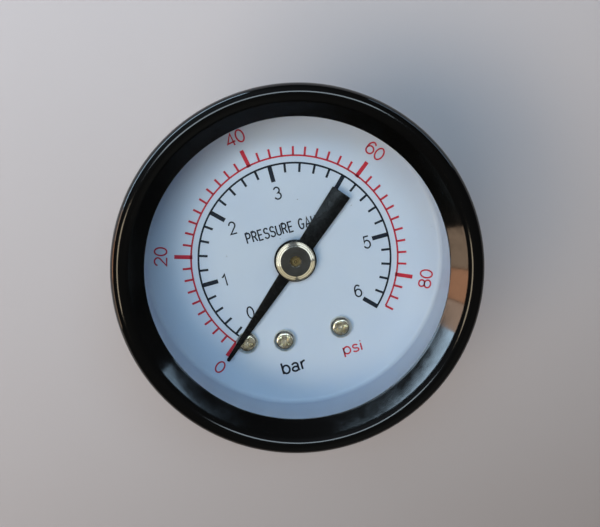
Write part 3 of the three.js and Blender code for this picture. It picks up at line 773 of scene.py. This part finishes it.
def print_psi_scale():
    """Red scale: 0 to 86 psi, marks outside the arc, numbers along the arc."""
    red = Print()
    red.arc(PSI_ARC_R, 0.22, PSI_ZERO, psi_angle(PSI_LAST))
    for value in (0, *range(4, PSI_LAST + 1, 2)):
        if value % 20 == 0:
            red.tick(psi_angle(value), PSI_ARC_R - 0.17, PSI_ARC_R + 2.1, 0.5)
        else:
            red.tick(psi_angle(value), PSI_ARC_R, PSI_ARC_R + 1.12, 0.27)
    number_r = 16.88
    pen = 0.2
    red.words("0", 1.72, 1.2, clock(number_r, -130.1), pen, turn=-130.1)
    for value, flip in ((20, 0), (40, 0), (60, 0), (80, 180)):
        angle = psi_angle(value)
        red.words(str(value), 1.72, 2.45, clock(number_r, angle), pen, turn=angle + flip)
    red.words("psi", 1.85, 2.5, (4.09, -13.2), 0.2, gap=0.2)
    piece = red.piece("dial_print_red")
    dress(piece, "gauge_body", INK_RED)


# ------------------------------------------------------------------ screws

def wing(r, across, top, depth, turn):
    """One bar of a crossed recess, narrower at its bottom."""
    verts = []
    for z, reach, half in ((top + 0.3, r * 1.12, across * 0.55), (top - depth, r * 0.42, across * 0.36)):
        for x, y in ((-reach, -half), (reach, -half), (reach, half), (-reach, half)):
            angle = math.radians(turn)
            verts.append((x * math.cos(angle) - y * math.sin(angle),
                          x * math.sin(angle) + y * math.cos(angle), z))
    faces = [[3, 2, 1, 0], [4, 5, 6, 7], [0, 1, 5, 4], [1, 2, 6, 5], [2, 3, 7, 6], [3, 0, 4, 7]]
    return facing_out(piece_from("wing", verts, faces))


def pan_screw(name, node, head_r, head_height, shank_r, turn, outward=1):
    """A pan-head screw with a crossed recess. Its own origin is the centre of the head's seat."""
    box_low, box_high = low(node), high(node)
    length = (box_high - box_low).z - head_height
    corners = [
        (0, -length, 0),
        (shank_r * 0.7, -length, 0),
        (shank_r, -length + shank_r * 0.4, 0),
        (shank_r, 0, 0),
        (head_r, 0, 0.04),
        (head_r, head_height * 0.62, 0.34 * head_height),
        (head_r * 0.72, head_height * 0.95, 0.5 * head_height),
        (head_r * 0.3, head_height, 0.5 * head_height),
        (0, head_height, 0),
    ]
    piece = turned(name, corners, 72, steps=6)
    recess_r, recess_depth = head_r * 0.68, head_height * 0.8
    tools = [wing(recess_r, head_r * 0.40, head_height, recess_depth, angle) for angle in (0, 90)]
    cone = [
        (0, head_height - recess_depth * 1.15, 0),
        (head_r * 0.10, head_height - recess_depth, 0),
        (head_r * 0.36, head_height + 0.2, 0),
        (0, head_height + 0.2, 0),
    ]
    cut(piece, *tools, turned("cone", cone, 32))
    soften(piece, 0.025, 2, 40)
    seat = box_high.z - head_height if outward > 0 else box_low.z + head_height
    middle = (box_low + box_high) / 2
    flip = Matrix.Identity(4) if outward > 0 else Matrix.Rotation(math.pi, 4, "X")
    piece.matrix_world = (Matrix.Translation(Vector((middle.x, middle.y, seat)) * MM)
                          @ flip @ Matrix.Rotation(math.radians(turn), 4, "Z"))
    return piece


# Each kind's head radius, head height, shank radius, side that its heads face, and turn of each screw
SCREWS = {
    "dial_screw": (1.4, 0.95, 0.8, 1, (38, 12, 63)),
    "case_screw": (2.2, 1.3, 1.05, -1, (20, 55)),
    "plate_screw": (1.3, 0.8, 0.6, 1, (15, 70, 40)),
    "movement_screw": (1.45, 0.8, 0.8, 1, (5, 33)),
}


def make_screws():
    for kind, (head_r, head_height, shank_r, outward, turns) in SCREWS.items():
        plated = kind == "dial_screw"
        slot, ending, metal = ("screw_plated", "plated", ZINC) if plated else ("steel", "steel", STEEL)
        for number, turn in enumerate(turns, 1):
            node = f"{kind}_{number}"
            piece = pan_screw(f"{node}_{ending}", node, head_r, head_height, shank_r, turn, outward)
            dress(piece, "gauge_body", metal, (node,))


# ------------------------------------------------------------------ pointer and hub

def make_pointer():
    """Stamped blade, disc and tail in one, with its edges slightly rolled over."""
    def meeting(width):
        """Half the angle, in degrees, that a limb of this width takes up on the disc."""
        return math.degrees(math.asin(width / 2 / POINTER_DISC_R))

    blade, tail = meeting(POINTER_ROOT), meeting(TAIL_ROOT)
    outline = [
        (POINTER_TIP / 2, POINTER_LENGTH - 0.1),
        (POINTER_TIP / 2 - 0.1, POINTER_LENGTH),
        (0.1 - POINTER_TIP / 2, POINTER_LENGTH),
        (-POINTER_TIP / 2, POINTER_LENGTH - 0.1),
        *arc_points(POINTER_DISC_R, 90 + blade, 270 - tail, 40),
        (-TAIL_END / 2, -TAIL_REACH),
        (TAIL_END / 2, -TAIL_REACH),
        *arc_points(POINTER_DISC_R, 270 + tail, 450 - blade, 40),
    ]
    piece = slab("pointer_blade", outline, POINTER_BOTTOM, POINTER_TOP)
    cut(piece, drill((0, 0), POINTER_BORE_R, POINTER_BOTTOM - 1, POINTER_TOP + 1))
    soften(piece, 0.07, 3, 50)
    piece.data.transform(Matrix.Rotation(-math.radians(POINTER_REST), 4, "Z"))
    dress(piece, "pointer_spindle", POINTER_BLACK, ("pointer",))


def make_hub():
    """Turned boss: bright chamfer, flat face with a small countersink round the spindle."""
    seat = POINTER_TOP + 0.02
    bottom = low("pointer_hub").z
    bore = SPINDLE_R + 0.03
    corners = [
        (bore, bottom, 0.03),
        (HUB_NECK_R, bottom, 0.05),
        (HUB_NECK_R, seat, 0),
        (HUB_R, seat, 0.06),
        (HUB_R, HUB_TOP - HUB_CHAMFER_DROP, 0.05),
        (HUB_R - HUB_CHAMFER, HUB_TOP, 0.04),
        (bore + 0.10, HUB_TOP, 0.03),
        (bore, HUB_TOP - 0.08, 0.02),
    ]
    piece = turned("hub_boss", corners, 128, steps=5, sharp=40)
    dress(piece, "pointer_spindle", NICKEL, ("pointer_hub",))


# ------------------------------------------------------------------ stem

def thread_surface():
    """The taper thread as one helix: radius from the depth of the groove at each height and angle."""
    sides, per_pitch = 120, 14
    top = STEM_TOP - 0.9
    entry_chamfer, entry_slope = 0.75, 1.1
    fade = 1.2
    count = int(top / THREAD_PITCH * per_pitch)
    root = THREAD_R - THREAD_DEPTH
    verts = []
    for row in range(count + 1):
        z = top * row / count
        entry = THREAD_R - entry_chamfer + z * entry_slope
        runout = 1 - min(1, max(0, (z - (top - fade)) / fade))
        for k in range(sides):
            phase = (z / THREAD_PITCH - k / sides) % 1
            ridge = 1 - abs(2 * phase - 1)
            ridge = min(1, max(0, (ridge - 0.12) / 0.76)) * runout
            r = min(root + THREAD_DEPTH * ridge, entry)
            angle = TURN * k / sides
            verts.append((r * math.cos(angle), r * math.sin(angle), z))
    faces = []
    for row in range(count):
        for k in range(sides):
            a, b = row * sides + k, row * sides + (k + 1) % sides
            faces.append([a, b, b + sides, a + sides])
    verts.extend(((0, 0, 0), (0, 0, top)))
    bottom_pole, top_pole = len(verts) - 2, len(verts) - 1
    for k in range(sides):
        faces.append([bottom_pole, (k + 1) % sides, k])
        faces.append([top_pole, count * sides + k, count * sides + (k + 1) % sides])
    return facing_out(piece_from("stem_thread", verts, faces, 50))


def make_stem():
    """Threaded stem, undercut, wrench flats, collar and neck, with the inlet bored up its middle."""
    root = THREAD_R - THREAD_DEPTH
    undercut = turned("undercut", [(0, STEM_TOP - 1.0, 0), (root, STEM_TOP - 1.0, 0),
                                   (root, STEM_TOP + 0.5, 0), (0, STEM_TOP + 0.5, 0)], 120)
    half = FLATS_ACROSS / 2
    square = slab("square", [(-half, -half), (half, -half), (half, half), (-half, half)], STEM_TOP, FLATS_TOP)
    chamfer = 0.75
    barrel = turned("barrel", [
        (0, STEM_TOP, 0),
        (FLATS_CORNER_R - chamfer, STEM_TOP, 0),
        (FLATS_CORNER_R, STEM_TOP + chamfer * 0.7, 0),
        (FLATS_CORNER_R, FLATS_TOP - chamfer * 0.7, 0),
        (FLATS_CORNER_R - chamfer, FLATS_TOP, 0),
        (0, FLATS_TOP, 0),
    ], 120)
    with_modifier(square, "BOOLEAN", object=barrel, operation="INTERSECT", solver="EXACT")
    bpy.data.objects.remove(barrel)
    collar = turned("collar", [
        (0, FLATS_TOP - 0.2, 0),
        (COLLAR_R, FLATS_TOP - 0.2, 0),
        (COLLAR_R, CASE_BACK - 0.05, 0.15),
        (NECK_R, CASE_BACK - 0.05, 0),
        (NECK_R, CASE_BACK + 0.64, 0),
        (0, CASE_BACK + 0.64, 0),
    ], 120)
    stem = join(thread_surface(), undercut, square, collar)
    inlet = turned("inlet", [
        (0, -1, 0),
        (2.2, -1, 0),
        (INLET_R, 0.35, 0),
        (INLET_R, INLET_DEPTH, 0),
        (PASSAGE_R, INLET_DEPTH, 0),
        (PASSAGE_R, CASE_BACK + 2, 0),
        (0, CASE_BACK + 2, 0),
    ], 64)
    cut(stem, inlet)
    soften(stem, 0.05, 2, 38)
    stem.name = "stem_brass"
    dress(stem, "gauge_body", BRASS_TURNED, ("socket",))


def make_socket_block():
    """The part of the socket inside the case: the CAD shape above the neck."""
    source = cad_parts["socket"]
    work = bmesh.new()
    work.from_mesh(source.data)
    work.transform(source.matrix_world)
    bmesh.ops.remove_doubles(work, verts=work.verts, dist=1e-7)
    level = (CASE_BACK + 0.65) * MM
    geometry = work.verts[:] + work.edges[:] + work.faces[:]
    sliced = bmesh.ops.bisect_plane(work, geom=geometry, plane_co=(0, 0, level), plane_no=(0, 0, 1),
                                    clear_inner=True)
    rim = [e for e in sliced["geom_cut"] if isinstance(e, bmesh.types.BMEdge)]
    bmesh.ops.triangle_fill(work, edges=rim, use_beauty=True, use_dissolve=True)
    bmesh.ops.dissolve_limit(work, angle_limit=math.radians(1), verts=work.verts, edges=work.edges)
    mesh = bpy.data.meshes.new("socket_block")
    work.to_mesh(mesh)
    work.free()
    piece = bpy.data.objects.new("socket_block", mesh)
    bpy.context.collection.objects.link(piece)
    facing_out(piece)
    crisp(piece)
    dress(piece, "gauge_body", BRASS)


# ------------------------------------------------------------------ Bourdon tube

def make_tube():
    """Flattened bronze tube on a 260 degree arc. Each ring's share of an even uncoiling is worked out but not
    used.
    """
    box_low, box_high = low("bourdon_tube"), high("bourdon_tube")
    height = (box_high - box_low).z
    arc_r = -box_low.x - TUBE_THICK / 2
    level = centre("bourdon_tube").z
    sweep = math.radians(TUBE_SWEEP)
    steps = 130

    def oval(half_thick):
        straight = (height - TUBE_THICK) / 2
        upper = [(x, y + straight) for x, y in arc_points(half_thick, 0, 180, 10)]
        lower = [(x, y - straight) for x, y in arc_points(half_thick, 180, 360, 10)]
        return upper + lower

    outer, inner = oval(TUBE_THICK / 2), oval(TUBE_THICK / 2 - TUBE_WALL)
    around = len(outer)
    verts, shares = [], []
    total = Vector((0, 0))
    centres = [Vector((0, -1)) @ Matrix.Rotation(sweep * k / steps, 2) * arc_r for k in range(steps + 1)]
    mean = sum(centres[1:], Vector((0, 0))) / steps
    for k, here in enumerate(centres):
        if k:
            total += (here + centres[k - 1]) / 2
        part = k / steps
        moved = part * here - total / steps
        share = moved.dot(here - mean) / (here - mean).length_squared
        out = here.normalized()
        for x, y in outer + inner:
            verts.append((*(here + out * x), level + y))
            shares.append(min(1, max(0, share)))
    faces = []
    for k in range(steps):
        for ring in (0, around):
            for i in range(around):
                j = (i + 1) % around
                a, b = 2 * around * k + ring, 2 * around * (k + 1) + ring
                faces.append([a + i, a + j, b + j, b + i])
    for k in (0, steps):
        for i in range(around):
            j = (i + 1) % around
            a = 2 * around * k
            faces.append([a + i, a + j, a + around + j, a + around + i])
    piece = facing_out(piece_from("tube_bronze", verts, faces, 50))
    piece.data.materials.append(BRONZE)
    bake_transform(piece)
    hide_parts("bourdon_tube")


# ------------------------------------------------------------------ carried-over CAD nodes

def finish_frame_nodes():
    """Gives each CAD node that stays its own finish and slightly rounded edges."""
    finishes = {
        BRASS: ["movement_back_plate", "movement_front_plate", "sector_gear", "link", "tube_tip"],
        BRASS_TURNED: ["dial_post_1", "dial_post_2", "dial_post_3", "pillar_1", "pillar_2", "pillar_3",
                       "hairspring_collet", "hairspring_stud", "pinion_shaft", "restrictor"],
        STEEL_TURNED: ["sector_arbor", "tail_pin", "tip_pin"],
        BRONZE: ["hairspring"],
    }
    for material, names in finishes.items():
        for name in names:
            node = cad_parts[name]
            for place in node.material_slots:
                place.material = material
            round_edges = node.modifiers.new("edges", "BEVEL")
            round_edges.width = 0.03 * MM
            round_edges.segments = 1
            round_edges.limit_method = "ANGLE"
            round_edges.angle_limit = math.radians(40)


# ------------------------------------------------------------------ stage, light and camera

def make_stage():
    size = 900
    verts = [(-size, -size, 0), (size, -size, 0), (size, size, 0), (-size, size, 0)]
    floor = piece_from("floor", verts, [[0, 1, 2, 3]])
    floor.data.materials.append(table_top())


def aim(thing, place, target, up):
    """Puts a camera or lamp at place, looking at target with up at the top."""
    back = (place - target).normalized()
    side = up.cross(back).normalized()
    top = back.cross(side)
    turn = Matrix((side, top, back)).transposed().to_4x4()
    thing.matrix_world = Matrix.Translation(place * MM) @ turn


def make_camera():
    """Camera at the photo's angle, fitted to the circles of the dial and the bezel."""
    data = bpy.data.cameras.new("camera")
    data.lens = 51.6
    data.sensor_width = 36
    data.clip_start, data.clip_end = 0.001, 10
    camera = bpy.data.objects.new("camera", data)
    bpy.context.collection.objects.link(camera)
    dial_centre = Vector((0, 0, DIAL))
    distance = 108.7
    leaning = (RIGHT * -0.040 + UP * 0.142 + Vector((0, 0, 1))).normalized()
    target = dial_centre + RIGHT * 0.634 + UP * -0.531
    aim(camera, dial_centre + leaning * distance, target, UP)
    bpy.context.scene.camera = camera


def panel(name, azimuth, elevation, width, height, radiance, color, mirrored=True, distance=600):
    """A rectangular lamp, its place and size given as angles seen from the dial.

    One that isn't mirrored lights surfaces but doesn't show in gloss.
    """
    data = bpy.data.lights.new(name, "AREA")
    data.shape = "RECTANGLE"
    data.size = 2 * distance * math.tan(math.radians(width / 2)) * MM
    data.size_y = 2 * distance * math.tan(math.radians(height / 2)) * MM
    data.energy = radiance * math.pi * data.size * data.size_y
    data.color = color
    lamp = bpy.data.objects.new(name, data)
    lamp.visible_glossy = mirrored
    bpy.context.collection.objects.link(lamp)
    dial_centre = Vector((0, 0, DIAL))
    aim(lamp, dial_centre + toward(azimuth, elevation) * distance, dial_centre, Vector((0, 0, 1)))
    return lamp


def make_room():
    """A dim room: a base level and a few broad lobes of light, each by direction."""
    world = bpy.data.worlds.new("room")
    bpy.context.scene.world = world
    world.use_nodes = True
    tree = world.node_tree
    nodes, links = tree.nodes, tree.links
    direction = nodes.new("ShaderNodeTexCoord").outputs["Generated"]
    total = None
    lobes = [
        (toward(0, 90), 0, (0.036, 0.036, 0.04)),
        (toward(330, 45), 6, (0.12, 0.14, 0.17)),
        (toward(150, 30), 6, (0.08, 0.08, 0.07)),
    ]
    for aim_at, sharpness, color in lobes:
        facing = nodes.new("ShaderNodeVectorMath")
        facing.operation = "DOT_PRODUCT"
        links.new(direction, facing.inputs[0])
        facing.inputs[1].default_value = aim_at
        positive = nodes.new("ShaderNodeMath")
        positive.operation = "MAXIMUM"
        positive.inputs[1].default_value = 0.0001
        links.new(facing.outputs["Value"], positive.inputs[0])
        lobe = nodes.new("ShaderNodeMath")
        lobe.operation = "POWER"
        lobe.inputs[1].default_value = sharpness
        links.new(positive.outputs["Value"], lobe.inputs[0])
        tinted = nodes.new("ShaderNodeVectorMath")
        tinted.operation = "SCALE"
        tinted.inputs[0].default_value = color
        links.new(lobe.outputs["Value"], tinted.inputs["Scale"])
        if total is None:
            total = tinted.outputs["Vector"]
            continue
        sum_node = nodes.new("ShaderNodeVectorMath")
        sum_node.operation = "ADD"
        links.new(total, sum_node.inputs[0])
        links.new(tinted.outputs["Vector"], sum_node.inputs[1])
        total = sum_node.outputs["Vector"]
    links.new(total, nodes["Background"].inputs["Color"])


def light_only(names, *lamps):
    """Keeps some lamps to the named pieces, as flags and snoots do in a studio."""
    lit = bpy.data.collections.new("lit_pieces")
    for name in names:
        lit.objects.link(bpy.data.objects[name])
    for lamp in lamps:
        lamp.light_linking.receiver_collection = lit


def make_light():
    make_room()
    # Soft light on the surfaces: a warm key from the left, blue sky from the upper left, weak fill
    panel("key", 238, 65, 32, 26, 5.5, (1.0, 0.84, 0.64), mirrored=False)
    panel("sky", 338, 75, 34, 24, 3.3, (0.46, 0.80, 1.0), mirrored=False, distance=200)
    panel("fill_right", 110, 40, 50, 40, 0.12, (0.9, 0.95, 1.0), mirrored=False)
    panel("fill_left", 250, 38, 50, 40, 0.15, (0.9, 0.95, 1.0), mirrored=False)
    # What gloss mirrors: a thin skylight on the crest, and windows and walls near the table
    panel("skylight", 350, 73, 40, 10, 6.5, (0.74, 0.89, 1.0))
    panel("lamp_left", 258, 60, 18, 12, 6.0, (1.0, 0.84, 0.6))
    panel("window", 314, 7.2, 60, 6.8, 12.0, (0.58, 0.80, 1.0))
    panel("window_far", 45, 5.0, 36, 4.4, 4.5, (0.52, 0.76, 1.0))
    panel("wall_tan", 252, 3.6, 15, 8, 3.4, (1.0, 0.70, 0.48))
    panel("wall_orange", 266, 4.6, 12, 9, 5.6, (1.0, 0.50, 0.28))
    panel("wall_pink", 278, 5.6, 11, 9, 5.2, (1.0, 0.70, 0.52))
    # A ring of soft boxes for the hub's chamfer and the screw heads, and one above the screws
    screws = [f"dial_screw_{number}_plated" for number in (1, 2, 3)]
    light_only(
        ["hub_boss", *screws],
        panel("box_left", 290, 49, 66, 17, 1.5, (1.0, 0.97, 0.92)),
        panel("box_right", 52, 50, 60, 14, 1.5, (0.95, 0.98, 1.0)),
        panel("box_near_left", 215, 38, 60, 18, 0.8, (1.0, 0.86, 0.60)),
        panel("box_near_right", 135, 38, 56, 18, 0.9, (1.0, 0.88, 0.66)),
    )
    light_only(screws, panel("box_above", 200, 80, 40, 24, 0.3, (1.0, 0.92, 0.78)))


make_bezel()
make_case()
make_lens()
make_gasket()
make_dial()
print_bar_scale()
print_psi_scale()
make_screws()
make_pointer()
make_hub()
make_stem()
make_socket_block()
make_tube()
finish_frame_nodes()
make_stage()
make_camera()
make_light()
bpy.context.scene.view_settings.view_transform = "Standard"
